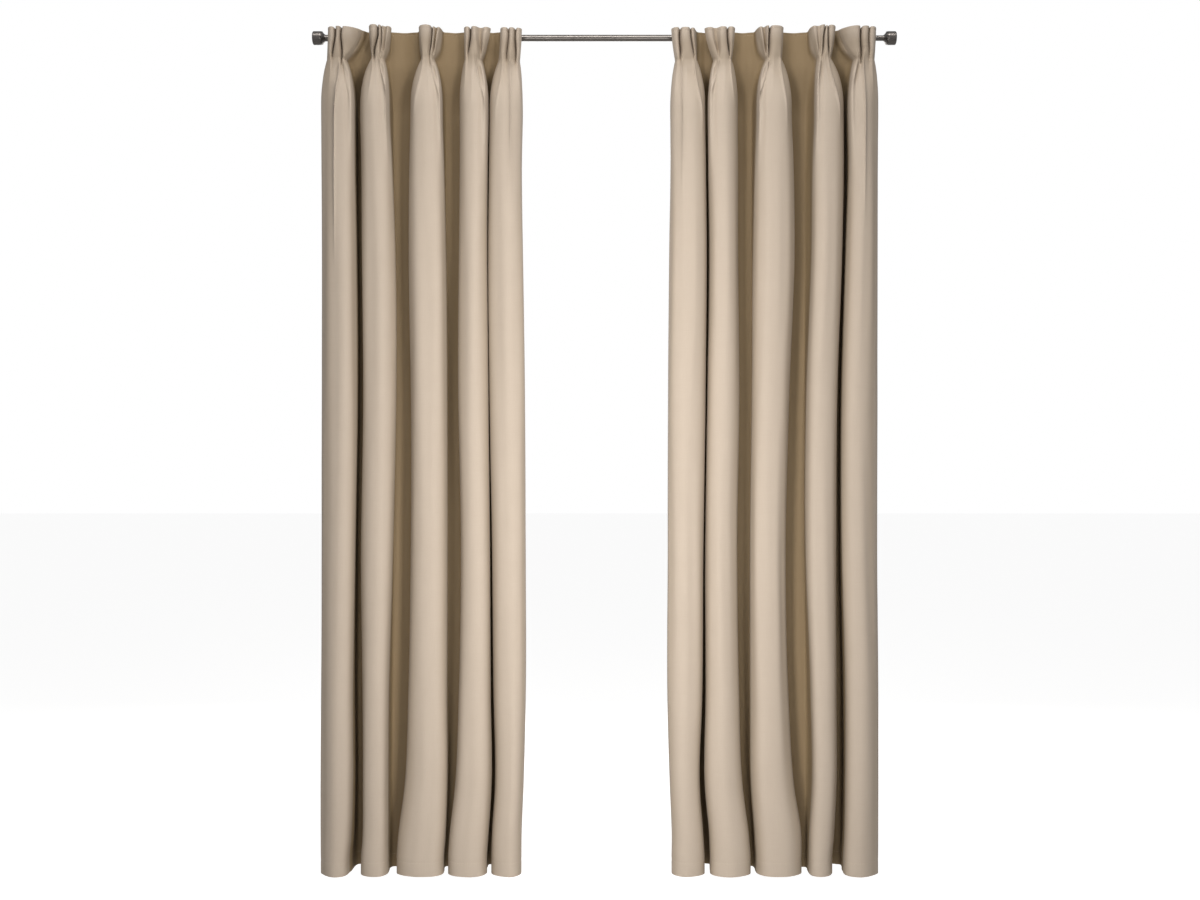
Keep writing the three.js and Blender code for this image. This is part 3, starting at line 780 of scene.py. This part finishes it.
class Panel:
    """One curtain panel. Along it, p grows from the wall side to the leading edge."""

    def __init__(self, side):
        self.side = side
        self.inward = 1 if side == "left" else -1
        self.rng = np.random.default_rng(11 if side == "left" else 29)
        self.edges = []
        for number in range(1, FOLDS + 1):
            low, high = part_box(f"cloth_{side}_fold_{number}")
            ends = sorted((self.inward * low.x, self.inward * high.x))
            self.edges.append(ends)
        self.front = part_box(f"cloth_{side}_fold_1")[0].y
        self.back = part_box(f"cloth_{side}_fold_1")[1].y
        self.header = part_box(f"cloth_{side}_web_1")[0].y + WEB_HALF
        self.web_back = [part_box(f"cloth_{side}_web_{n}")[1].y - WEB_HALF for n in range(1, FOLDS)]
        self.joins = []
        for (_, left), (right, _) in zip(self.edges, self.edges[1:]):
            reach = (0, 0) if self.joins else WING_REACH
            self.joins.append((left - NECK + reach[0] * (1 - PINCH),
                               right + NECK + reach[1] * (1 - PINCH)))
        self.build()

    def web_level(self, i):
        """How far back the web behind gap i lies, at every row."""
        sway = 0.004 * np.sin(BELOW * 2.1 + i * 1.7 + self.inward) * FULL
        return self.header + (self.web_back[i] - self.header) * FULL + sway

    def fold_line(self, i):
        """One fold, from the end of the web before it to the start of the web after it."""
        pleat = PLEATS[self.side][i]
        low, high = self.edges[i]
        centre = (low + high) / 2
        sides = []
        for k in range(2):
            edge, tack = pleat["edge"][k] * MM, pleat["tack"][k] * MM
            tight = centre + edge + (tack - edge) * PINCH
            stray = MM * smooth_through(STRAY_HEIGHTS, STRAY[self.side][i][k])
            loose = self.edges[i][k] + stray
            sides.append(tight + (loose - tight) * OPENING)
        left, right = sides
        width = right - left
        depth = self.front + 0.002 * np.sin(BELOW * 1.9 + 2.3 * i) * FULL
        tight_front = self.front + PLEAT_FRONT + (TACK_BACK - PLEAT_FRONT) * PINCH
        front_y = tight_front + (depth - tight_front) * ease(BELOW, NIP, NIP + BELL)
        lean = pleat["lean"] + (RIDGES[i] - pleat["lean"]) * FULL
        side_back = SIDE_BACK[0] + (SIDE_BACK[1] - SIDE_BACK[0]) * FULL
        w_left = points(left, front_y + side_back)
        roll = FIRST_ROLL * (1 - ease(BELOW, 0.02, NIP)) if i == 0 else 0
        w_right = points(right, front_y + side_back + roll)
        nose = points(left + lean * width, front_y)
        gathered = 1 - ease(BELOW, 0.6 * NIP, NIP)
        flank = [pleat["round"][k] + (FLANKS[i][k] - pleat["round"][k]) * FULL for k in range(2)]
        flank[1] = flank[1] - 0.22 * gathered
        if i < FOLDS - 1:
            flank[1] = flank[1] + 0.24 * pressed_band(0.24, 0.50)
        reach_left, reach_right = lean * width, (1 - lean) * width
        zero = np.zeros(len(BELOW))
        if i == 0:
            start = points(left + 0.004 + 0.012 * FULL, self.header + (self.back - self.header) * FULL)
            start_pull = points(zero, -0.3 * (start[:, 1] - w_left[:, 1]))
        else:
            start = points(self.joins[i - 1][1], self.web_level(i - 1))
            start_pull = points(np.maximum(0.62 * (left - start[:, 0]), 0.010), zero)
        if i == FOLDS - 1:
            end = points(right - 0.004 - 0.014 * FULL, self.header + (self.back - self.header) * FULL)
            end_pull = points(zero, -0.3 * (end[:, 1] - w_right[:, 1]))
        else:
            end = points(self.joins[i][0], self.web_level(i))
            end_pull = points(-np.maximum(0.62 * (end[:, 0] - right), 0.010), zero)
        splay = [0.30 * gathered * (0 if i == 0 else 1), 0.62 * gathered * (0 if i == FOLDS - 1 else 1)]
        out_left = splay[0] * np.minimum(start[:, 0] - left, 0)
        out_right = splay[1] * np.maximum(end[:, 0] - right, 0)
        pull_left = points(out_left, 0.55 * (start[:, 1] - w_left[:, 1]))
        pull_right = points(out_right, 0.55 * (end[:, 1] - w_right[:, 1]))
        leg_left = bend(start, start_pull, pull_left, w_left, LEG_STEPS)
        leg_right = bend(w_right, pull_right, end_pull, end, LEG_STEPS)
        arc_left = bend(w_left, points(zero, -flank[0] * side_back),
                        points(-flank[0] * reach_left, zero), nose, ARC_STEPS)
        arc_right = bend(nose, points(flank[1] * reach_right, zero),
                         points(zero, -flank[1] * side_back), w_right, ARC_STEPS)
        for arc in (arc_left, arc_right):
            self.shape_front(arc, i, centre, left, right)
        parts = [evenly(leg_left, LEG_COLUMNS), evenly(arc_left, FRONT_COLUMNS),
                 evenly(arc_right, FRONT_COLUMNS), evenly(leg_right, LEG_COLUMNS)]
        return np.concatenate([parts[0]] + [part[:, 1:] for part in parts[1:]], axis=1)

    def shape_front(self, arc, i, centre, left, right):
        """Rounds a pleat's fingers, presses the slits between them and raises creases below."""
        pleat = PLEATS[self.side][i]
        p = arc[:, :, 0]
        inset = np.minimum(p - left[:, None], right[:, None] - p)
        clear = ease(inset, 0.0, 0.007)
        t = TOWARDS_TACK
        change = np.zeros_like(p)
        bounds = [left, right]
        for kind in ("slits", "wings"):
            for at_edge, at_tack, bow, half_edge, half_tack, depth, end in pleat[kind]:
                sideways = bow * np.sin(1.6 * math.pi * t + 0.4)
                spot = centre + MM * (at_edge + (at_tack - at_edge) * t + sideways)
                half = HOLLOW_WIDTH * MM * (half_edge + (half_tack - half_edge) * t)
                fade = 1 - ease(BELOW, (end - 40) * MM, (end + 8) * MM)
                off = np.abs((p - spot[:, None]) / half[:, None])
                if kind == "slits":
                    shape = 0.6 * np.exp(-off**1.6) + 0.4 / (1 + (off / 2) ** 2)
                    bounds.append(spot)
                else:
                    shape = np.exp(-off**2.4)
                change += MM * depth * fade[:, None] * shape
        bounds = np.sort(np.stack(bounds), axis=0)
        gathered = 1 - ease(BELOW, NIP - 0.015, NIP + 0.05)
        for start, end in zip(bounds, bounds[1:]):
            width = np.maximum(end - start, 0.004)[:, None]
            u = np.clip((p - start[:, None]) / width, 0, 1)
            height = np.minimum(0.30 * width, FINGER) * gathered[:, None]
            change -= height * np.sqrt(4 * u * (1 - u))
        for at_tack, lower, height, half, end in pleat["creases"]:
            drift = ease(BELOW, NIP, 0.26)
            spot = centre + MM * (at_tack + (lower - at_tack) * drift)
            fade = ease(BELOW, NIP - 0.045, NIP + 0.01) * (1 - ease(BELOW, 0.5 * end * MM, end * MM))
            shape = np.exp(-np.abs((p - spot[:, None]) / (CREASE_WIDTH * half * MM)) ** 1.15)
            change -= MM * CREASE_RISE * height * fade[:, None] * shape
        rim = 0 if i == FOLDS - 1 else RIM
        inside = right[:, None] - p
        crest = np.exp(-((inside - 0.004) / 0.004) ** 2)
        shape = crest - 0.75 * np.exp(-((inside - 0.0155) / 0.0065) ** 2)
        fade = ease(BELOW, NIP, NIP + 0.03) * (1 - ease(BELOW, 0.22, 0.46))
        arc[:, :, 1] += change * clear - rim * fade[:, None] * shape

    def web_line(self, i):
        start, end = self.joins[i]
        share = np.linspace(0, 1, WEB_COLUMNS)[None, :]
        x = start[:, None] + (end - start)[:, None] * share
        bow = np.sin(math.pi * share) ** 2 * (WEB_SAG[i] * (1 - FULL) + 0.006 * FULL)[:, None]
        return np.stack([x, self.web_level(i)[:, None] + bow], -1)

    def build(self):
        """Joins folds and webs into one grid of points, row by row, with its normals."""
        lines = []
        self.spans = {}
        column = 0
        for i in range(FOLDS):
            line = self.fold_line(i)
            self.spans[f"fold_{i + 1}"] = (column, column + line.shape[1] - 1)
            lines.append(line if i == 0 else line[:, 1:])
            column += line.shape[1] - 1
            if i < FOLDS - 1:
                line = self.web_line(i)
                self.spans[f"web_{i + 1}"] = (column, column + line.shape[1] - 1)
                lines.append(line[:, 1:])
                column += line.shape[1] - 1
        plan = np.concatenate(lines, axis=1)
        rows, columns = plan.shape[:2]
        mid = rows // 2
        along = np.concatenate([[0], np.cumsum(np.hypot(*np.diff(plan[mid], axis=0).T))])
        self.along = along
        grid = np.empty((rows, columns, 3))
        grid[:, :, 0] = self.inward * plan[:, :, 0]
        grid[:, :, 1] = plan[:, :, 1]
        marks, lifts = [], []
        for i in range(FOLDS):
            first, last = self.spans[f"fold_{i + 1}"]
            marks += [along[first], (along[first] + along[last]) / 2, along[last]]
            lifts += [-5, PLEATS[self.side][i]["lift"], -5]
        lift = MM * np.interp(along, marks, lifts)
        height = DROP - BELOW[:, None] + lift[None, :] * (1 - ease(BELOW, 0.0, 0.8))[:, None]
        grid[:, :, 2] = height
        normal = self.normals(grid)
        grid += normal * self.ripples(along)[:, :, None]
        self.grid = grid
        self.normal = self.normals(grid)
        # Painted shade, 0 to 1 at every point, darkening the cloth's colour where shade falls: the
        # header's slits, a mild share on the folds' flanks, the full share where the cloth lies back in
        # the webs, and a band along the header. It is left off the room-side half of each fold just
        # below its tack, and off the panel's outer columns.
        depth = grid[:, :, 1]
        hollow = depth - blurred(depth, 7)
        in_header = 1 - ease(BELOW, NIP + 0.01, NIP + 0.10)[:, None]
        hollow = np.clip(hollow / 0.005, 0, 1) * in_header
        column = np.arange(depth.shape[1])
        inner = ease(column, 20, 34) * ease(depth.shape[1] - 1 - column, 20, 34)
        painted_shade = 0.30 * ease(depth, self.front + 0.004, self.front + 0.028)
        pressed = pressed_band(0.30, 0.60)
        for i in range(FOLDS):
            first, last = self.spans[f"fold_{i + 1}"]
            painted_shade[:, (first + last) // 2:last + 1] *= 1 - pressed[:, None]
        painted_shade = np.maximum(painted_shade, ease(depth, self.front + 0.028, self.front + 0.058)) * inner
        gathered = 0.34 * ease(BELOW, 0.004, 0.05) * (1 - ease(BELOW, NIP - 0.01, NIP + 0.045))
        self.recess = np.maximum(np.maximum(painted_shade, gathered[:, None] * inner), hollow)
        self.part_folds()

    def part_folds(self):
        """Parts every fold at its ridge, and finds the strip of each that stays with its hook."""
        self.parts, self.held = {}, []
        for i in range(FOLDS):
            first, last = self.spans[f"fold_{i + 1}"]
            ridge = first + LEG_COLUMNS + FRONT_COLUMNS - 2
            self.parts[f"fold_{i + 1}_a"] = (first, ridge)
            self.parts[f"fold_{i + 1}_b"] = (ridge, last)
            if i < FOLDS - 1:
                self.parts[f"web_{i + 1}"] = self.spans[f"web_{i + 1}"]
            across = self.inward * self.grid[:, :, 0]
            hook = self.inward * middle(f"hook_{self.side}_{i + 1}").x
            tape = (across[BELOW < 0.09][:, [first, last]]).mean(1)
            stays = np.concatenate([across[:, ridge], tape, [hook - 0.010, hook + 0.010]])
            self.held.append((stays.min() - 0.001, stays.max() + 0.001))

    def ripples(self, along):
        """Small uneven waves of hanging cloth, stronger near the tacks and the hem."""
        out = np.zeros((len(BELOW), len(along)))
        u, v = along[None, :], BELOW[:, None]
        for width, height, size in ((0.21, 1.9, 1.5), (0.11, 1.5, 1.0), (0.060, 1.3, 1.1),
                                    (0.034, 0.9, 0.40), (0.047, 0.16, 0.12)):
            for _ in range(3):
                phase = self.rng.uniform(0, 2 * math.pi, 2)
                tilt = self.rng.uniform(-0.6, 0.6)
                wave = np.sin(2 * math.pi * (u / width + tilt * v / height) + phase[0])
                swell = 0.55 + 0.45 * np.sin(2 * math.pi * v / height + phase[1])
                out += size * MM * wave * swell / 1.7
        near_tack = ease(BELOW, 0.0, 0.10) * (1 - ease(BELOW, 0.10, 0.42))
        pucker = np.sin(u / 0.019 + 3 * np.sin(v / 0.05)) * near_tack[:, None] * 0.30 * MM
        hem = ease(BELOW, DROP - 0.09, DROP - 0.02)[:, None] * 0.35 * MM * np.sin(u / 0.023 + 1.3)
        seam = (np.exp(-((v - (DROP - HEM_BAND)) / 0.005) ** 2)
                + np.exp(-((v - HEADER_BAND) / 0.0022) ** 2))
        body = ease(BELOW, NIP * 0.8, 0.24)[:, None]
        return out * (0.15 + 0.85 * body) + pucker + hem - 0.45 * MM * seam

    def normals(self, grid):
        """Unit normals that point at the room."""
        down = np.gradient(grid, axis=0)
        across = np.gradient(grid, axis=1)
        normal = np.cross(down, across) * self.inward
        return normal / np.maximum(np.linalg.norm(normal, axis=2, keepdims=True), 1e-12)


def add_cloth_piece(name, grid, normal, front, back, u, v, recess, finish):
    """A closed sheet round a grid: front and back offsets along the normals, and its four rims."""
    rows, columns = grid.shape[:2]
    count = rows * columns
    faces_up = np.cross(grid[1, 0] - grid[0, 0], grid[0, 1] - grid[0, 0]) @ normal[0, 0] > 0
    verts = np.concatenate([(grid + normal * front[..., None]).reshape(-1, 3),
                            (grid - normal * back[..., None]).reshape(-1, 3)])
    index = np.arange(count).reshape(rows, columns)
    quads = np.stack([index[:-1, :-1], index[1:, :-1], index[1:, 1:], index[:-1, 1:]], -1)
    quads = quads.reshape(-1, 4)
    rim = np.concatenate([index[0, :], index[1:, -1], index[-1, -2::-1], index[-2::-1, 0]])
    ends = np.stack([rim[:-1], rim[1:], rim[1:] + count, rim[:-1] + count], -1)
    if not faces_up:
        quads = quads[:, ::-1]
        ends = ends[:, ::-1]
    faces = np.concatenate([quads, quads[:, ::-1] + count, ends])
    piece = add_mesh(name, verts, faces.tolist(), finish)
    layer = piece.data.uv_layers.new(name="weave")
    uv = np.stack(np.broadcast_arrays(u[None, :], v[:, None]), -1).reshape(-1, 2)
    uv = np.concatenate([uv, uv])
    corner = np.empty(len(piece.data.loops), np.int32)
    piece.data.loops.foreach_get("vertex_index", corner)
    layer.data.foreach_set("uv", uv[corner].astype(np.float32).ravel())
    # Painted shade share, on the front surface only.
    layer = piece.data.attributes.new("recess", "FLOAT", "POINT")
    shares = np.concatenate([recess.ravel(), 0 * recess.ravel()])
    layer.data.foreach_set("value", shares.astype(np.float32))
    vectors = np.concatenate([normal.reshape(-1, 3), -normal.reshape(-1, 3)])
    piece.data.normals_split_custom_set_from_vertices(vectors.tolist())
    return piece


PAINTED_SHADE_TINT = (0.51, 0.43, 0.285)    # painted shade: the cloth's colour is darkened and warmed where it lies back between the folds
YARN = 0.0016                        # pitch of the weave


def woven_cloth(name, light, dark, sheen):
    """Plain weave in metres of cloth: crossing yarns, thick and thin places in them, faint clouds."""
    finish = Finish(name, Sheen_Weight=sheen, Sheen_Roughness=0.45, Specular_IOR_Level=0.28)
    finish.shader.inputs["Sheen Tint"].default_value = (1.0, 0.93, 0.84, 1)
    uv = finish.node("ShaderNodeUVMap", {"uv_map": "weave"}).outputs[0]
    split = finish.node("ShaderNodeSeparateXYZ", None, {0: uv})
    u, v = Value(finish, split.outputs[0]), Value(finish, split.outputs[1])
    turn = 2 * math.pi
    warp = (u * (turn / YARN)).sine()
    weft = (v * (turn / YARN)).sine()
    weave = warp * weft
    long_slubs = finish.noise(finish.stretched(uv, (760, 16, 1)), 1.0, 3.0, 0.65)
    cross_slubs = finish.noise(finish.stretched(uv, (16, 760, 1)), 1.0, 3.0, 0.65)
    clouds = finish.noise(uv, 9.0, 3.0, 0.55)
    tone = long_slubs * 0.42 + cross_slubs * 0.30 + clouds * 0.22 + weave * 0.04 + 0.03
    open_tone = finish.mix(tone, dark, light)
    # Painted shade: the cloth's two colours darkened and warmed, mixed in by the recess attribute where
    # the cloth lies back among the folds.
    painted_shade = [tuple(c * k for c, k in zip(colour, PAINTED_SHADE_TINT)) for colour in (dark, light)]
    recess = finish.node("ShaderNodeAttribute", {"attribute_name": "recess"}).outputs["Fac"]
    finish.set("Base Color", finish.blend(recess, open_tone, finish.mix(tone, *painted_shade)))
    finish.set("Roughness", long_slubs * 0.18 + 0.58)
    relief = weave * 0.30 + long_slubs * 0.9 + cross_slubs * 0.6
    finish.bump(relief, 0.00022, 0.55)
    return finish


curtain_cloth = woven_cloth("beige_plain_weave", (0.436, 0.368, 0.304), (0.344, 0.285, 0.226), 0.03)
panels = {side: Panel(side) for side in SIDES}


def cloth_backs(panel, columns):
    """Back offset of the cloth: doubled at the bottom hem, the header band and the side hems."""
    down = BELOW[:, None]
    along = panel.along[None, columns]
    hem = ease(down, DROP - HEM_BAND - 0.002, DROP - HEM_BAND)
    head = 1 - ease(down, HEADER_BAND, HEADER_BAND + 0.002)
    side = 1 - ease(np.minimum(along, panel.along[-1] - along), SIDE_HEM, SIDE_HEM + 0.004)
    return CLOTH / 2 + CLOTH * np.maximum(np.maximum(hem, head), side)


def hang(piece, panel, part):
    """A panel's two edges ride on their own folds; the rest stays fixed where it hangs."""
    number = int(part.split("_")[1])
    near, far = (number - 1, number) if part.endswith("_a") else (number, number + 1)
    if near < 1 or far > FOLDS:
        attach(piece, body_of(panel.side, number))
        return
    body_of(panel.side, near)
    body_of(panel.side, far)
    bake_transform(piece)


for side, panel in panels.items():
    for part, (first, last) in panel.parts.items():
        take = slice(first, last + 1)
        grid, normal = panel.grid[:, take], panel.normal[:, take]
        front = np.full(grid.shape[:2], CLOTH / 2)
        piece = add_cloth_piece(f"curtain_{side}_{part}", grid, normal, front, cloth_backs(panel, take),
                                panel.along[take], DROP - BELOW, panel.recess[:, take], curtain_cloth)
        hang(piece, panel, part)
        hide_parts(f"cloth_{side}_" + "_".join(part.split("_")[:2]))


# ---- heading tape ------------------------------------------------------------------------------
# A soft cream cotton tape, 70 mm wide, sewn across the back of each panel behind the pleats, with a
# woven pocket over the pin of every hook.

TAPE_TOP, TAPE_BOTTOM = 0.011, 0.081
TAPE_GAP = 0.0003
TAPE = 0.0004
POCKET_HALF = 0.007
POCKET_TOP, POCKET_BOTTOM = 0.012, 0.052
POCKET_RISE = 0.0024
TAPE_COLUMNS = 14                  # across one half of a pleat

tape_cotton = woven_cloth("cream_tape", (0.60, 0.55, 0.46), (0.48, 0.43, 0.35), 0.03)
tape_rows = (BELOW >= TAPE_TOP) & (BELOW <= TAPE_BOTTOM)


def tape_grid(panel, part):
    """Behind a web the tape follows the cloth; behind a pleat it runs straight across."""
    first, last = panel.parts[part]
    line = panel.grid[tape_rows, first:last + 1].copy()
    if part.startswith("fold"):
        first, last = panel.spans[part[:-2]]
        start, end = panel.grid[tape_rows, first:first + 1], panel.grid[tape_rows, last:last + 1]
        reach = (0, 0.5) if part.endswith("_a") else (0.5, 1)
        share = np.linspace(*reach, TAPE_COLUMNS)
        line = start + (end - start) * share[None, :, None]
    line[:, :, 2] = (DROP - 0.005 - BELOW[tape_rows])[:, None]
    line[:, :, 1] += CLOTH / 2 + TAPE_GAP + TAPE / 2
    return line


def add_tape(panel, part):
    grid = tape_grid(panel, part)
    normal = np.zeros_like(grid)
    normal[:, :, 1] = -1
    half = np.full(grid.shape[:2], TAPE / 2)
    along = np.linalg.norm(grid[0] - grid[0, 0], axis=1)
    piece = add_cloth_piece(f"tape_{panel.side}_{part}", grid, normal, half, half, along,
                            DROP - BELOW[tape_rows], 0 * half, tape_cotton)
    hang(piece, panel, part)


def add_pocket(panel, number):
    """A woven strip bowed over the hook's pin and sewn down at its sides."""
    centre = middle(f"hook_{panel.side}_{number}").x
    spot = np.linspace(-1, 1, 21)
    rows = np.linspace(POCKET_TOP, POCKET_BOTTOM, 16)
    y = panel.header + CLOTH / 2 + TAPE_GAP + TAPE + 0.0002
    y = y + POCKET_RISE * np.cos(math.pi / 2 * spot) ** 1.5
    grid = np.empty((len(rows), len(spot), 3))
    grid[:, :, 0] = centre + panel.inward * POCKET_HALF * spot
    grid[:, :, 1] = y
    grid[:, :, 2] = (DROP - 0.005 - rows)[:, None]
    half = np.full(grid.shape[:2], TAPE / 2)
    piece = add_cloth_piece(f"tape_pocket_{panel.side}_{number}", grid, panel.normals(grid), half, half,
                            POCKET_HALF * spot, DROP - rows, 0 * half, tape_cotton)
    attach(piece, body_of(panel.side, number))


for panel in panels.values():
    for part in panel.parts:
        add_tape(panel, part)
    for number in range(1, FOLDS + 1):
        add_pocket(panel, number)


# ---- stitching ---------------------------------------------------------------------------------
# Rows of lock stitches in matching thread: along the header edge, the bottom hem and the two side
# hems of each panel, and along both edges of the heading tape. Each piece carries its own.

STITCH_PITCH = 0.0040
STITCH_LENGTH = 0.0030
STITCH_THICKNESS = 0.0006

thread = Finish("beige_thread", Roughness=0.6, Sheen_Weight=0.1)
spun = thread.noise(thread.stretched(thread.place(), (900, 900, 900)), 1.0, 2.0)
thread.set("Base Color", thread.mix(spun, (0.36, 0.29, 0.22), (0.50, 0.42, 0.33)))


def stitch_nodes():
    """Geometry nodes that lay one stitch at every pitch along the edges of a mesh."""
    tree = bpy.data.node_groups.new("stitches", "GeometryNodeTree")
    tree.interface.new_socket("Geometry", in_out="INPUT", socket_type="NodeSocketGeometry")
    for name in ("Pitch", "Length", "Thickness"):
        tree.interface.new_socket(name, in_out="INPUT", socket_type="NodeSocketFloat")
    tree.interface.new_socket("Seed", in_out="INPUT", socket_type="NodeSocketInt")
    tree.interface.new_socket("Geometry", in_out="OUTPUT", socket_type="NodeSocketGeometry")
    made = {kind: tree.nodes.new(kind) for kind in (
        "NodeGroupInput", "GeometryNodeMeshToCurve", "GeometryNodeResampleCurve",
        "GeometryNodeMeshIcoSphere", "ShaderNodeCombineXYZ", "GeometryNodeTransform",
        "GeometryNodeInputTangent", "FunctionNodeAlignRotationToVector",
        "FunctionNodeRandomValue", "GeometryNodeInstanceOnPoints",
        "GeometryNodeRealizeInstances", "GeometryNodeSetMaterial", "NodeGroupOutput")}
    (group, curve, resample, ball, size, scaled, tangent, turn, vary, place, real, paint,
     out) = made.values()
    resample.mode = "LENGTH"
    turn.axis = "X"
    ball.inputs["Radius"].default_value = 0.5
    ball.inputs["Subdivisions"].default_value = 1
    paint.inputs["Material"].default_value = thread.material
    vary.data_type = "FLOAT"
    low, high = [socket for socket in vary.inputs if socket.enabled and socket.name in ("Min", "Max")]
    low.default_value, high.default_value = 0.88, 1.08
    for source, target in (
        (group.outputs["Geometry"], curve.inputs["Mesh"]),
        (curve.outputs[0], resample.inputs["Curve"]),
        (group.outputs["Pitch"], resample.inputs["Length"]), (group.outputs["Length"], size.inputs["X"]),
        (group.outputs["Thickness"], size.inputs["Y"]), (group.outputs["Thickness"], size.inputs["Z"]),
        (ball.outputs["Mesh"], scaled.inputs["Geometry"]), (size.outputs[0], scaled.inputs["Scale"]),
        (tangent.outputs[0], turn.inputs["Vector"]), (group.outputs["Seed"], vary.inputs["Seed"]),
        (resample.outputs[0], place.inputs["Points"]), (scaled.outputs[0], place.inputs["Instance"]),
        (turn.outputs[0], place.inputs["Rotation"]),
        ([socket for socket in vary.outputs if socket.enabled][0], place.inputs["Scale"]),
        (place.outputs[0], real.inputs[0]), (real.outputs[0], paint.inputs["Geometry"]),
        (paint.outputs[0], out.inputs["Geometry"]),
    ):
        tree.links.new(source, target)
    return tree


stitches = stitch_nodes()
socket_names = {item.name: item.identifier for item in stitches.interface.items_tree
                if item.in_out == "INPUT"}


def add_stitches(name, lines, seed):
    """Stitches along lines of points, as one plain mesh."""
    verts = [point for line in lines for point in line.tolist()]
    edges = []
    start = 0
    for line in lines:
        edges += [(start + k, start + k + 1) for k in range(len(line) - 1)]
        start += len(line)
    data = bpy.data.meshes.new(name)
    data.from_pydata(verts, edges, [])
    piece = bpy.data.objects.new(name, data)
    scene.collection.objects.link(piece)
    modifier = piece.modifiers.new("stitches", "NODES")
    modifier.node_group = stitches
    for key, value in (("Pitch", STITCH_PITCH), ("Length", STITCH_LENGTH),
                       ("Thickness", STITCH_THICKNESS), ("Seed", seed)):
        modifier[socket_names[key]] = value
    apply_modifiers(piece)
    piece.data.materials.clear()
    piece.data.materials.append(thread.material)
    piece.data.shade_smooth()
    return piece


def stitch_lines(panel, part):
    """Where the thread shows on one piece: on its front at the hems, on its back along the tape."""
    first, last = panel.parts[part]
    take = slice(first, last + 1)
    front = panel.grid + panel.normal * (CLOTH / 2)
    lines = [front[np.abs(BELOW - below).argmin(), take] for below in (HEADER_BAND, DROP - HEM_BAND)]
    if part == "fold_1_a":
        lines.append(front[6:, np.abs(panel.along - SIDE_HEM).argmin()])
    if part == f"fold_{FOLDS}_b":
        lines.append(front[6:, np.abs(panel.along - (panel.along[-1] - SIDE_HEM)).argmin()])
    tape = tape_grid(panel, part)
    tape[:, :, 1] += TAPE / 2
    lines += [tape[1], tape[-2]]
    return lines


for panel in panels.values():
    for count, part in enumerate(panel.parts):
        side = panel.side
        piece = add_stitches(f"stitches_{side}_{part}", stitch_lines(panel, part), 3 + count)
        hang(piece, panel, part)

for panel in panels.values():
    for part, (first, last) in panel.parts.items():
        side = panel.side
        kind, number = part.split("_")[:2]
